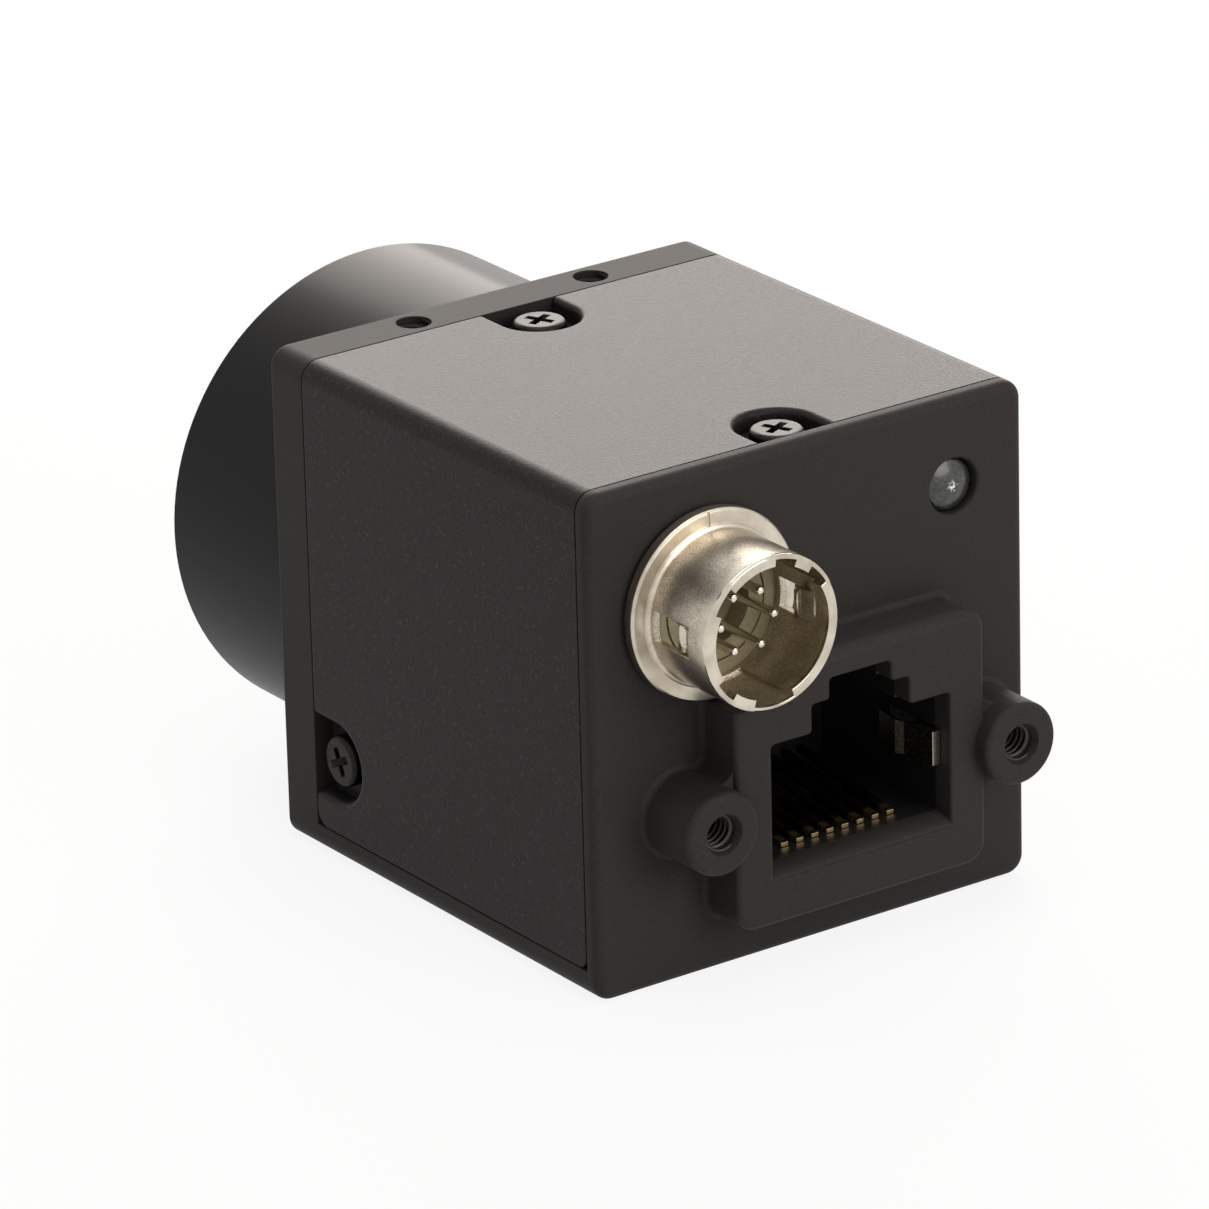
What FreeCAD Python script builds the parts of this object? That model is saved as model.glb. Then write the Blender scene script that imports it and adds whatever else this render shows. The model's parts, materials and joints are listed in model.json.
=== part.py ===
import FreeCAD
import Part
import math
import os

from FreeCAD import Vector

# Machine vision camera, in millimetres.
# Origin: centre of the lens mount flange. -Y is the way the camera looks, +Z is up.

# Body
body_width = 29.0
body_height = 29.0
body_length = 30.0
corner_radius = 1.1
front_plate_thickness = 3.1
front_edge_radius = 0.25
base_rim_height = 1.65
base_step_height = 0.6
rear_plate_thickness = 1.0
rear_edge_radius = 0.6

# Clearances
seam_gap = 0.1
slip_gap = 0.05
screw_gap = 0.05
window_gap = 0.1
pick_gap = 0.05

# Cover
cover_thickness = 0.8
cover_bend_inner_radius = 0.3
cover_front_corner_radius = 0.9
cover_rear_corner_radius = 0.6
lip_width = 0.7
lip_depth = 1.1

# Cover screws and their pressed recesses
screw_radius = 1.0
screw_head_radius = 1.5
screw_head_height = 0.9
screw_head_round = 0.3
screw_length = 3.0
screw_end_gap = 0.4
cross_width = 0.45
cross_span = 1.9
cross_depth = 0.5
recess_depth = 1.1
recess_wall_radius = 2.3
recess_lip_radius = 0.35
screw_from_seam = 2.1
rear_screw_shift = 0.3
side_screw_from_bottom = 6.0
screw_hole_gap = 0.1
cross_turn = 25.0
cross_taper = 0.45
boss_half_width = 1.8
boss_end_wall = 0.6

# Lens mount
flange_focal_distance = 17.526
mount_length = 12.0
mount_wall = 1.15
mount_edge_chamfer = 0.35
lens_thread_radius = 12.7
lens_thread_length = 5.2
relief_width = 0.8
relief_depth = 0.3
baffle_step = 1.3
baffle_groove_pitch = 1.1
baffle_groove_depth = 0.4
baffle_groove_width = 0.55
baffle_groove_count = 4
spigot_length = 1.3
spigot_step = 1.15

# Filter in front of the sensor
retainer_thickness = 0.8
retainer_step = 0.9
retainer_width = 2.1
retainer_slot_width = 1.0
filter_thickness = 1.0
filter_step = 1.1
filter_gasket_thickness = 0.3
filter_gasket_width = 1.0

# Image sensor
package_room = 1.5
package_thickness = 1.7
package_wall = 1.9
package_shelf = 0.5
die_side_room = 0.9
die_end_room = 1.9
die_thickness = 0.3
die_setback = 0.55
sensor_glass_inset = 0.9
sensor_glass_thickness = 0.5
sensor_glass_gap = 0.2
sensor_window_width = 12.0
sensor_window_height = 9.6
sensor_window_corner = 1.0
sensor_boss_size = 22.0
sensor_boss_corner = 1.5
sensor_gasket_gap = 0.2

# Circuit boards
board_thickness = 1.0
board_side_room = 1.4
board_top_room = 1.5
board_bottom_room = 1.45
tongue_bottom_room = 0.45
screw_boss_gap = 0.3
front_stack_gap = 3.4
rear_gap_share = 0.27
standoff_across_flats = 3.0
standoff_stud_radius = 0.8
standoff_hole_floor = 0.5
board_hole_gap = 0.1
post_radius = 1.7
board_screw_head_radius = 1.3
board_screw_head_height = 0.8
board_screw_head_round = 0.25
standoff_inset = 1.3
standoff_inner_x = -5.8
standoff_over_side_screw = 4.9
stud_length = 2.0

# Chips and board connectors
chip_x = 1.0
chip_z = 3.0
processor_size = 12.0
processor_gap_share = 0.26
memory_width = 9.0
memory_height = 11.0
memory_gap_share = 0.33
connector_inset = 5.8
connector_depth = 3.2
connector_z = -7.4
connector_tongue_gap = 0.1
tongue_share = 0.8
magnetics_x = 4.0
magnetics_z = 3.6
magnetics_width = 12.0
magnetics_height = 9.0
magnetics_gap_share = 0.64
transformer_x = -7.5
transformer_size = 8.0
transformer_gap_share = 0.68

# Network socket
socket_x = -1.05
socket_surround_half_width = 8.34
socket_surround_bottom = -11.36
socket_surround_top = 3.42
socket_surround_height = 3.0
socket_surround_corner = 1.2
socket_surround_edge_radius = 0.3
socket_surround_top_radius = 0.8
socket_surround_wall = 1.35
socket_foot_radius = 0.35
opening_corner_radius = 0.25
opening_edge_radius = 0.15
plug_floor = -8.2
plug_lip_drop = 0.6
plug_lip_bulge = 0.55
plug_shoulder = -0.95
plug_half_width = 6.0
plug_step_top = 0.7
plug_step_half_width = 3.27
plug_latch_top = 1.92
plug_latch_half_width = 2.06
jack_side_wall = 0.8
jack_top_wall = 0.5
jack_floor_wall = 1.6
jack_cavity_share = 0.77
jack_shield_thickness = 0.25
contact_count = 8
contact_pitch = 1.02
contact_width = 0.45
contact_thickness = 0.3
contact_setback = 0.95
contact_sink = 0.1
contact_nose = 0.35
contact_bend = 0.9
contact_rise = 1.5
contact_tip_gap = 1.2
contact_slot_depth = 0.6
spring_width = 1.95
spring_height = -4.42
spring_nose = 0.45
spring_crease = 2.3
spring_reach = 4.0
spring_bow = 1.05

# Screw posts beside the network socket
post_side_inset = 4.5
post_height_z = -4.68
lock_post_length = 4.1
lock_post_radius = 2.38
lock_post_rim_radius = 0.35
lock_hole_radius = 1.0
lock_hole_depth = 4.6
lock_countersink = 0.18
lock_lead_depth = 0.45
web_radius = 0.8

# Round input/output connector
io_x = 7.0
io_z = 7.0
io_flange_radius = 5.4
io_relief_gap = 0.15
io_flange_thickness = 0.7
io_hub_radius = 4.55
io_hub_height = 0.08
io_hub_slope = 0.1
io_edge_chamfer = 0.12
io_index_angle = 93.0
io_index_width = 0.14
io_index_depth = 0.1
io_gasket_thickness = 0.25
io_gasket_radius = 5.2
io_barrel_radius = 4.35
io_barrel_length = 6.1
io_bore_radius = 3.95
io_lip_radius = 3.7
io_lip_depth = 0.8
io_keyways = [(30.0, 50.0), (66.0, 86.0), (130.0, 153.0), (210.0, 230.0), (252.0, 289.0)]
io_keyway_radius = 4.1
io_keyway_start = 1.4
io_window_start = 1.45
io_window_length = 3.0
io_window_width = 1.75
io_tab_length = 0.95
io_tab_thickness = 0.25
io_thread_radius = 4.4
io_thread_length = 3.6
io_nut_radius = 5.1
io_nut_slot_width = 1.2
io_nut_thickness = 1.2
insulator_face = 1.0
insulator_recess_radius = 2.2
insulator_recess_depth = 1.4
insulator_groove_radius = 3.17
insulator_groove_width = 0.12
insulator_groove_depth = 0.25
pin_circle_radius = 1.75
pin_radius = 0.26
pin_tip_length = 0.2
pin_setback = 2.1
pin_count = 6

# Status light
light_side_inset = 4.75
light_top_inset = 5.1
light_hole_radius = 1.6
light_hole_round = 0.2
light_pipe_radius = 1.4
light_dome_height = 0.35
light_dome_setback = 0.1
light_collar_radius = 1.9
light_collar_thickness = 0.9
light_chip_size = 1.6
light_chip_thickness = 0.8
light_chip_gap = 0.3

# Tapped mounting holes
top_hole_spacing = 12.0
top_hole_radius = 1.0
top_hole_depth = 2.6
top_hole_setback = 1.65
base_hole_spacing = 18.0
base_hole_radius = 1.5
base_hole_depth = 2.6
base_hole_from_plate = 11.9
base_hole_wall = 1.1
base_hole_roof = 0.7

# Countersunk screws through the base into the rear plate
base_screw_inset = 3.3
base_screw_setback = 2.0
base_screw_radius = 0.9
base_screw_head_radius = 1.75
base_screw_length = 4.2
lug_inner = 1.5
lug_outer = 1.9
lug_height = 3.0

# Places worked out from the sizes above
half_width = body_width / 2
half_height = body_height / 2
plate_front = mount_length
plate_back = plate_front + front_plate_thickness
rear_face = plate_front + body_length
rear_plate_front = rear_face - rear_plate_thickness
base_rim_top = -half_height + base_rim_height
base_floor = base_rim_top + base_step_height
base_screw_x = half_width - base_screw_inset
side_screw_height = -half_height + side_screw_from_bottom
cover_inner_x = half_width - cover_thickness
cover_inner_z = half_height - cover_thickness
recess_floor = recess_depth
recess_under = recess_depth + cover_thickness
boss_depth = screw_length + screw_end_gap + boss_end_wall
side_boss_inner = half_width - recess_under - boss_depth
top_boss_inner = half_height - recess_under - boss_depth
front_screw_y = plate_back + screw_from_seam
rear_screw_y = rear_plate_front - screw_from_seam + rear_screw_shift

mount_outer_radius = lens_thread_radius + mount_wall
spigot_radius = mount_outer_radius - spigot_step
baffle_radius = lens_thread_radius - baffle_step
retainer_radius = baffle_radius - retainer_step
filter_radius = retainer_radius - filter_step
die_front = flange_focal_distance
package_front = die_front - die_setback
package_back = package_front + package_thickness
sensor_glass_front = package_front - sensor_glass_thickness
sensor_boss_back = sensor_glass_front - sensor_glass_gap
retainer_front = plate_front + spigot_length
retainer_back = retainer_front + retainer_thickness
filter_back = retainer_back + filter_thickness
filter_seat = filter_back + filter_gasket_thickness

surround_front = rear_face + socket_surround_height
jack_front = surround_front - socket_surround_wall
plug_bottom = plug_floor - plug_lip_drop
post_spacing = body_width - 2 * post_side_inset
light_x = light_side_inset - half_width
light_z = half_height - light_top_inset

sensor_board_front = package_back
sensor_board_back = sensor_board_front + board_thickness
main_board_front = sensor_board_back + front_stack_gap
main_board_back = main_board_front + board_thickness
rear_stack_gap = (jack_front - main_board_back - board_thickness) * rear_gap_share
interface_board_front = main_board_back + rear_stack_gap
interface_board_back = interface_board_front + board_thickness

board_half_width = cover_inner_x - board_side_room
board_top = cover_inner_z - board_top_room
board_bottom = base_floor + board_bottom_room
sensor_board_shoulder = side_screw_height + boss_half_width + screw_boss_gap
sensor_board_tongue_bottom = base_floor + tongue_bottom_room
standoff_x = board_half_width - standoff_inset
standoff_top_z = board_top - standoff_inset - screw_boss_gap
standoff_low_z = side_screw_height + standoff_over_side_screw
standoff_places = [
    (standoff_x, standoff_top_z),
    (standoff_inner_x, standoff_top_z),
    (standoff_x, standoff_low_z),
    (-standoff_x, standoff_low_z),
]
package_half_width = side_boss_inner - package_room
package_half_height = top_boss_inner - package_room
die_width = 2 * (package_half_width - package_wall - die_side_room)
die_height = 2 * (package_half_height - package_wall - die_end_room)
connector_width = 2 * (board_half_width - connector_inset)

jack_cavity_back = jack_front - (jack_front - interface_board_back) * jack_cavity_share
jack_half_width = plug_half_width + jack_side_wall
jack_neck_half_width = plug_step_half_width + jack_top_wall
jack_bottom = plug_floor - jack_floor_wall
jack_shoulder = plug_shoulder + jack_side_wall
jack_top = plug_latch_top + jack_top_wall
io_seat = rear_face + io_gasket_thickness
io_flange_back = io_seat + io_flange_thickness
io_mouth = rear_face + io_barrel_length
insulator_front = rear_face + insulator_face
insulator_back = rear_face - io_thread_length


def block(x0, x1, y0, y1, z0, z1):
    return Part.makeBox(x1 - x0, y1 - y0, z1 - z0, Vector(x0, y0, z0))


def cylinder_x(radius, x0, x1, y, z):
    return Part.makeCylinder(radius, x1 - x0, Vector(x0, y, z), Vector(1, 0, 0))


def cylinder_y(radius, y0, y1, x=0.0, z=0.0):
    return Part.makeCylinder(radius, y1 - y0, Vector(x, y0, z), Vector(0, 1, 0))


def cylinder_z(radius, z0, z1, x, y):
    return Part.makeCylinder(radius, z1 - z0, Vector(x, y, z0), Vector(0, 0, 1))


def cone_y(radius0, radius1, y0, y1, x=0.0, z=0.0):
    return Part.makeCone(radius0, radius1, y1 - y0, Vector(x, y0, z), Vector(0, 1, 0))


def edges_along(shape, direction):
    found = []
    for edge in shape.Edges:
        if len(edge.Vertexes) == 2 and isinstance(edge.Curve, Part.Line):
            step = edge.Vertexes[1].Point - edge.Vertexes[0].Point
            if abs(abs(step.normalize().dot(direction)) - 1) < 1e-6:
                found.append(edge)
    return found


def edges_in_plane(shape, y):
    # Edges that lie wholly in the plane at y.
    found = []
    for edge in shape.Edges:
        bounds = edge.BoundBox
        if abs(bounds.YMin - y) < 1e-4 and abs(bounds.YMax - y) < 1e-4:
            found.append(edge)
    return found


def edges_within(shape, y, x0, x1, z0, z1):
    # Edges in the plane at y that stay inside a window.
    found = []
    for edge in edges_in_plane(shape, y):
        bounds = edge.BoundBox
        if x0 < bounds.XMin and bounds.XMax < x1 and z0 < bounds.ZMin and bounds.ZMax < z1:
            found.append(edge)
    return found


def rounded_block(x0, x1, y0, y1, z0, z1, radius):
    # A block with its four edges along Y rounded.
    plain = block(x0, x1, y0, y1, z0, z1)
    return plain.makeFillet(radius, edges_along(plain, Vector(0, 1, 0)))


def wire_face(points):
    closed = points + [points[0]]
    return Part.Face(Part.makePolygon(closed))


def revolve_y(profile, x=0.0, z=0.0):
    # Turn a list of (radius, y) points about the line through (x, z) along Y.
    points = [Vector(x + radius, y, z) for radius, y in profile]
    return wire_face(points).revolve(Vector(x, 0, z), Vector(0, 1, 0), 360)


def fuse_all(shapes):
    whole = shapes[0]
    for shape in shapes[1:]:
        whole = whole.fuse(shape)
    return whole.removeSplitter()


def cut_all(shape, tools):
    for tool in tools:
        shape = shape.cut(tool)
    return shape.removeSplitter()


def recess_cutter(extent):
    # Cutter of a pressed screw recess about +Z, its mouth in the plane z = 0.
    # The straight part runs towards -Y by the extent.
    wall = recess_wall_radius
    lip = recess_lip_radius
    depth = recess_depth
    middle = lip * (1 - math.sqrt(0.5))
    points = [
        Vector(0, 0, -depth),
        Vector(wall, 0, -depth),
        Vector(wall, 0, -lip),
        Vector(wall + middle, 0, -middle),
        Vector(wall + lip, 0, 0),
        Vector(wall + lip, 0, depth),
        Vector(0, 0, depth),
    ]
    edges = [
        Part.makeLine(points[0], points[1]),
        Part.makeLine(points[1], points[2]),
        Part.Arc(points[2], points[3], points[4]).toShape(),
        Part.makeLine(points[4], points[5]),
        Part.makeLine(points[5], points[6]),
        Part.makeLine(points[6], points[0]),
    ]
    half = Part.Face(Part.Wire(edges))
    turned = half.revolve(Vector(0, 0, 0), Vector(0, 0, 1), 360)
    straight = half.extrude(Vector(0, -extent, 0))
    other = straight.mirror(Vector(0, 0, 0), Vector(1, 0, 0))
    return fuse_all([turned, straight, other])


def recess_dish(extent, radius, top, bottom):
    # The sheet pushed down around a recess, before its inside is cut.
    turned = Part.makeCylinder(radius, top - bottom, Vector(0, 0, bottom))
    behind = block(-radius, radius, -radius - extent, 0, bottom, top)
    straight = block(-radius, radius, -extent, 0, bottom, top)
    return fuse_all([turned.cut(behind), straight])


def place_top(shape, y, towards_rear=False):
    # Seat a +Z feature on the cover's top.
    placed = shape.copy()
    if towards_rear:
        placed.rotate(Vector(0, 0, 0), Vector(0, 0, 1), 180)
    placed.translate(Vector(0, y, half_height))
    return placed


def place_side(shape, y, side):
    # Seat a +Z feature on the cover's side, side being +1 or -1.
    placed = shape.copy()
    placed.rotate(Vector(0, 0, 0), Vector(0, 1, 0), 90 * side)
    placed.translate(Vector(side * half_width, y, side_screw_height))
    return placed


def on_cover(shape_front, shape_rear):
    # The four places of a screw feature: top front, top rear and the two sides.
    return [
        place_top(shape_front, front_screw_y),
        place_top(shape_rear, rear_screw_y, towards_rear=True),
        place_side(shape_front, front_screw_y, 1),
        place_side(shape_front, front_screw_y, -1),
    ]


def screw_boss(overlap):
    # Block under a recess, tapped for the cover screw, from the plate behind it.
    reach = boss_half_width
    depth = boss_depth
    solid = fuse_all([
        Part.makeCylinder(reach, depth, Vector(0, 0, -recess_under - depth)),
        block(-reach, reach, -overlap, 0, -recess_under - depth, -recess_under),
    ])
    return solid


def screw_bore():
    # Tapped hole of a cover screw, from the recess floor down.
    depth = screw_length + screw_end_gap
    return Part.makeCylinder(screw_radius, depth, Vector(0, 0, -recess_floor - depth))


def lens_mount_ring():
    # Turned ring: thread, relief groove and baffle grooves inside, spigot behind.
    chamfer = mount_edge_chamfer
    relief = lens_thread_length + relief_width
    profile = [
        (lens_thread_radius, 0),
        (mount_outer_radius - chamfer, 0),
        (mount_outer_radius, chamfer),
        (mount_outer_radius, mount_length),
        (spigot_radius, mount_length),
        (spigot_radius, mount_length + spigot_length),
        (baffle_radius, mount_length + spigot_length),
    ]
    back = mount_length + spigot_length - baffle_groove_pitch
    for index in range(baffle_groove_count):
        start = back - index * baffle_groove_pitch
        profile += [
            (baffle_radius, start),
            (baffle_radius + baffle_groove_depth, start - baffle_groove_width / 2),
            (baffle_radius, start - baffle_groove_width),
        ]
    profile += [
        (baffle_radius, relief),
        (lens_thread_radius + relief_depth, relief),
        (lens_thread_radius + relief_depth, lens_thread_length),
        (lens_thread_radius, lens_thread_length),
    ]
    return revolve_y(profile)


def body_outline(y0, y1):
    return rounded_block(-half_width, half_width, y0, y1, -half_height, half_height, corner_radius)


def seat_lip(y0, y1):
    # Raised lip that locates the cover from inside, over the top and both sides.
    outer_x = cover_inner_x - slip_gap
    outer_z = cover_inner_z - slip_gap
    foot = base_floor - 2 * cover_bend_inner_radius
    outer = rounded_block(-outer_x, outer_x, y0, y1, foot, outer_z, cover_bend_inner_radius)
    inner_x = outer_x - lip_width
    inner = block(-inner_x, inner_x, y0, y1, foot, outer_z - lip_width)
    below = block(-half_width, half_width, y0, y1, foot, base_floor)
    return cut_all(outer, [inner, below])


def front_housing():
    # One casting: front plate, base plate, sensor boss, board posts and screw bosses.
    plate = body_outline(plate_front, plate_back)
    plate = plate.makeFillet(front_edge_radius, edges_in_plane(plate, plate_front))
    base_cut = block(-half_width, half_width, plate_back, rear_plate_front, base_rim_top, half_height)
    base = body_outline(plate_back, rear_plate_front).cut(base_cut)
    step_x = cover_inner_x - slip_gap
    step = block(-step_x, step_x, plate_back, rear_plate_front, base_rim_top, base_floor)
    half_boss = sensor_boss_size / 2
    boss = rounded_block(-half_boss, half_boss, plate_back, sensor_boss_back, -half_boss, half_boss,
                         sensor_boss_corner)
    lip = seat_lip(plate_back, plate_back + lip_depth)
    clear = recess_dish(screw_from_seam, recess_wall_radius + cover_thickness + window_gap, 1,
                        -recess_under - 1)
    lip = cut_all(lip, on_cover(clear, clear)[:1] + on_cover(clear, clear)[2:])
    solids = [plate, base, step, boss, lip]
    for x, z in standoff_places:
        solids.append(cylinder_y(post_radius, plate_back, sensor_board_front, x, z))
    raw_boss = screw_boss(screw_from_seam)
    places = on_cover(raw_boss, raw_boss)
    solids += [places[0], places[2], places[3]]
    hole_y = plate_back + base_hole_from_plate
    roof = -half_height + base_hole_depth + base_hole_roof
    for side in (-1, 1):
        x = side * base_hole_spacing / 2
        solids.append(cylinder_z(base_hole_radius + base_hole_wall, base_rim_top, roof, x, hole_y))
    casting = fuse_all(solids)

    holes = [
        cylinder_y(spigot_radius + slip_gap, plate_front - 1, retainer_front),
        cylinder_y(retainer_radius + slip_gap, retainer_front - 1, retainer_back),
        cylinder_y(filter_radius + slip_gap, retainer_back - 1, filter_seat),
        rounded_block(-sensor_window_width / 2, sensor_window_width / 2, filter_seat - 1,
                      sensor_boss_back + 1, -sensor_window_height / 2, sensor_window_height / 2,
                      sensor_window_corner),
    ]
    bore = screw_bore()
    bores = on_cover(bore, bore)
    holes += [bores[0], bores[2], bores[3]]
    for x, z in standoff_places:
        holes.append(cylinder_y(standoff_stud_radius, plate_back + standoff_hole_floor,
                                sensor_board_front + 1, x, z))
    for side in (-1, 1):
        x = side * top_hole_spacing / 2
        y = plate_front + top_hole_setback
        holes.append(cylinder_z(top_hole_radius, half_height - top_hole_depth, half_height + 1, x, y))
        holes.append(cylinder_z(top_hole_radius, -half_height - 1, -half_height + top_hole_depth, x, y))
        x = side * base_hole_spacing / 2
        holes.append(cylinder_z(base_hole_radius, -half_height - 1, -half_height + base_hole_depth, x,
                                hole_y))
        x = side * base_screw_x
        y = rear_plate_front - base_screw_setback
        holes.append(cylinder_z(base_screw_radius + screw_hole_gap, -half_height - 1, base_floor + 1, x, y))
        head = base_screw_head_radius + screw_gap
        sink = head - base_screw_radius - screw_hole_gap
        holes.append(Part.makeCone(head, base_screw_radius + screw_hole_gap, sink,
                                   Vector(x, y, -half_height), Vector(0, 0, 1)))
    return cut_all(casting, holes)


def cover():
    # One sheet folded over the top and both sides, with four pressed screw recesses.
    y0 = plate_back + seam_gap
    y1 = rear_plate_front - seam_gap
    bottom = base_rim_top + seam_gap
    outer = body_outline(y0, y1)
    inner = rounded_block(-cover_inner_x, cover_inner_x, y0 - 1, y1 + 1, -half_height - 2, cover_inner_z,
                          cover_bend_inner_radius)
    below = block(-half_width, half_width, y0 - 1, y1 + 1, -half_height - 1, bottom)
    sheet = outer.cut(inner).cut(below)

    # Round the lower corners of both side walls.
    corners = []
    for y, radius, turn in ((y0, cover_front_corner_radius, 1), (y1, cover_rear_corner_radius, -1)):
        square = block(-half_width, half_width, min(y, y + turn * radius), max(y, y + turn * radius),
                       bottom, bottom + radius)
        disc = cylinder_x(radius, -half_width - 1, half_width + 1, y + turn * radius, bottom + radius)
        corners.append(square.cut(disc))
    sheet = cut_all(sheet, corners)

    front_extent = front_screw_y - y0
    rear_extent = y1 - rear_screw_y
    dish_radius = recess_wall_radius + cover_thickness
    dish_top = -cover_thickness / 2
    dish_front = recess_dish(front_extent, dish_radius, dish_top, -recess_under)
    dish_rear = recess_dish(rear_extent, dish_radius, dish_top, -recess_under)
    sheet = fuse_all([sheet] + on_cover(dish_front, dish_rear))
    inside = recess_cutter(front_extent + 2)
    hole = Part.makeCylinder(screw_radius + screw_hole_gap, 2 * recess_under, Vector(0, 0, -2 * recess_under))
    cutter = fuse_all([inside, hole])
    return cut_all(sheet, on_cover(cutter, cutter))


def pan_head_screw():
    # Screw seated on a recess floor, standing along +Z below the mouth at z = 0.
    bottom = -recess_floor
    head = Part.makeCylinder(screw_head_radius, screw_head_height, Vector(0, 0, bottom))
    top = bottom + screw_head_height
    rim = []
    for edge in head.Edges:
        if abs(edge.BoundBox.ZMin - top) < 1e-4:
            rim.append(edge)
    head = head.makeFillet(screw_head_round, rim)
    shank = Part.makeCylinder(screw_radius - screw_gap, screw_length, Vector(0, 0, bottom - screw_length))
    screw = head.fuse(shank)
    half_span = cross_span / 2
    half_slot = cross_width / 2
    slot = wire_face([
        Vector(-half_span, -half_slot, top + 0.1),
        Vector(half_span, -half_slot, top + 0.1),
        Vector(half_span * cross_taper, -half_slot, top - cross_depth),
        Vector(-half_span * cross_taper, -half_slot, top - cross_depth),
    ]).extrude(Vector(0, cross_width, 0))
    slot.rotate(Vector(0, 0, 0), Vector(0, 0, 1), cross_turn)
    crossed = slot.copy()
    crossed.rotate(Vector(0, 0, 0), Vector(0, 0, 1), 90)
    return cut_all(screw, [slot, crossed])


def cover_screws():
    screw = pan_head_screw()
    return Part.makeCompound(on_cover(screw, screw))


def base_screws():
    screws = []
    y = rear_plate_front - base_screw_setback
    for side in (-1, 1):
        x = side * base_screw_x
        sink = base_screw_head_radius - base_screw_radius
        head = Part.makeCone(base_screw_head_radius, base_screw_radius, sink,
                             Vector(x, y, -half_height + screw_gap), Vector(0, 0, 1))
        shank = cylinder_z(base_screw_radius, -half_height + screw_gap + sink,
                           -half_height + base_screw_length, x, y)
        slot = block(x - cross_span / 2, x + cross_span / 2, y - cross_width / 2, y + cross_width / 2,
                     -half_height, -half_height + cross_depth)
        crossed = slot.copy()
        crossed.rotate(Vector(x, y, 0), Vector(0, 0, 1), 90)
        screws.append(cut_all(head.fuse(shank), [slot, crossed]))
    return Part.makeCompound(screws)


def plug_opening(y0, y1, bottom):
    # Stepped outline of the network plug, along Y.
    return fuse_all([
        block(socket_x - plug_half_width, socket_x + plug_half_width, y0, y1, bottom, plug_shoulder),
        block(socket_x - plug_step_half_width, socket_x + plug_step_half_width, y0, y1, bottom,
              plug_step_top),
        block(socket_x - plug_latch_half_width, socket_x + plug_latch_half_width, y0, y1, bottom,
              plug_latch_top),
    ])


def plug_mouth(y0, y1):
    # The same outline with rounded corners, down to the foot of the lower lip.
    plain = plug_opening(y0, y1, plug_bottom)
    return plain.makeFillet(opening_corner_radius, edges_along(plain, Vector(0, 1, 0)))


def plug_lip():
    # Lower lip of the mouth, curving up to the floor of the jack.
    inner = Vector(0, jack_front, plug_floor)
    front = Vector(0, surround_front, plug_bottom)
    curve = Part.BezierCurve()
    curve.setPoles([
        inner,
        Vector(0, jack_front + socket_surround_wall * plug_lip_bulge, plug_floor),
        Vector(0, surround_front, plug_floor - plug_lip_drop * plug_lip_bulge),
        front,
    ])
    below = Vector(0, jack_front, plug_bottom)
    edges = [curve.toShape(), Part.makeLine(front, below), Part.makeLine(below, inner)]
    lip = Part.Face(Part.Wire(edges)).extrude(Vector(2 * plug_half_width, 0, 0))
    lip.translate(Vector(socket_x - plug_half_width, 0, 0))
    return lip


def jack_outline(y0, y1, growth):
    # Outside of the network socket: a block with a narrower neck on top.
    lower = jack_half_width + growth
    neck = jack_neck_half_width + growth
    bottom = jack_bottom - growth
    return fuse_all([
        block(socket_x - lower, socket_x + lower, y0, y1, bottom, jack_shoulder + growth),
        block(socket_x - neck, socket_x + neck, y0, y1, bottom, jack_top + growth),
    ])


def socket_surround():
    # Raised frame round the network socket, rounded more along its top edge.
    left = socket_x - socket_surround_half_width
    right = socket_x + socket_surround_half_width
    top = socket_surround_top
    frame = rounded_block(left, right, rear_face - rear_plate_thickness / 2, surround_front,
                          socket_surround_bottom, top, socket_surround_corner)
    frame = frame.makeFillet(socket_surround_edge_radius, edges_in_plane(frame, surround_front))
    radius = socket_surround_top_radius
    y = surround_front - radius
    z = top - radius
    edge = block(left - 1, right + 1, y, surround_front + 1, z, top + 1)
    return frame.cut(edge.cut(cylinder_x(radius, left - 1, right + 1, y, z)))


def lock_post(side):
    # Round post with a rounded rim, and its web to the socket surround.
    x = socket_x + side * post_spacing / 2
    z = post_height_z
    end = rear_face + lock_post_length
    root = rear_face - rear_plate_thickness / 2
    post = cylinder_y(lock_post_radius, root, end, x, z)
    post = post.makeFillet(lock_post_rim_radius, edges_in_plane(post, end))

    wall_x = socket_x + side * socket_surround_half_width
    centre_x = wall_x + side * web_radius
    rise = math.sqrt((lock_post_radius + web_radius) ** 2 - (x - centre_x) ** 2)
    webs = []
    for up in (-1, 1):
        centre = Vector(centre_x, root, z + up * rise)
        middle = Vector(x, root, z)
        on_wall = Vector(wall_x, root, centre.z)
        towards = middle - centre
        on_post = centre + towards.normalize() * web_radius
        halfway = (on_wall + on_post) * 0.5 - centre
        arc_point = centre + halfway.normalize() * web_radius
        inside = Vector(wall_x - side * 0.5, root, centre.z)
        below = Vector(wall_x - side * 0.5, root, z)
        edges = [
            Part.makeLine(inside, on_wall),
            Part.Arc(on_wall, arc_point, on_post).toShape(),
            Part.makeLine(on_post, middle),
            Part.makeLine(middle, below),
            Part.makeLine(below, inside),
        ]
        face = Part.Face(Part.Wire(edges))
        webs.append(face.extrude(Vector(0, surround_front - socket_surround_edge_radius - root, 0)))
    return fuse_all([post] + webs)


def lock_hole(side):
    x = socket_x + side * post_spacing / 2
    z = post_height_z
    end = rear_face + lock_post_length
    hole = cylinder_y(lock_hole_radius, end - lock_hole_depth, end, x, z)
    lead = cone_y(lock_hole_radius, lock_hole_radius + lock_countersink, end - lock_lead_depth, end, x, z)
    return hole.fuse(lead)


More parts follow.
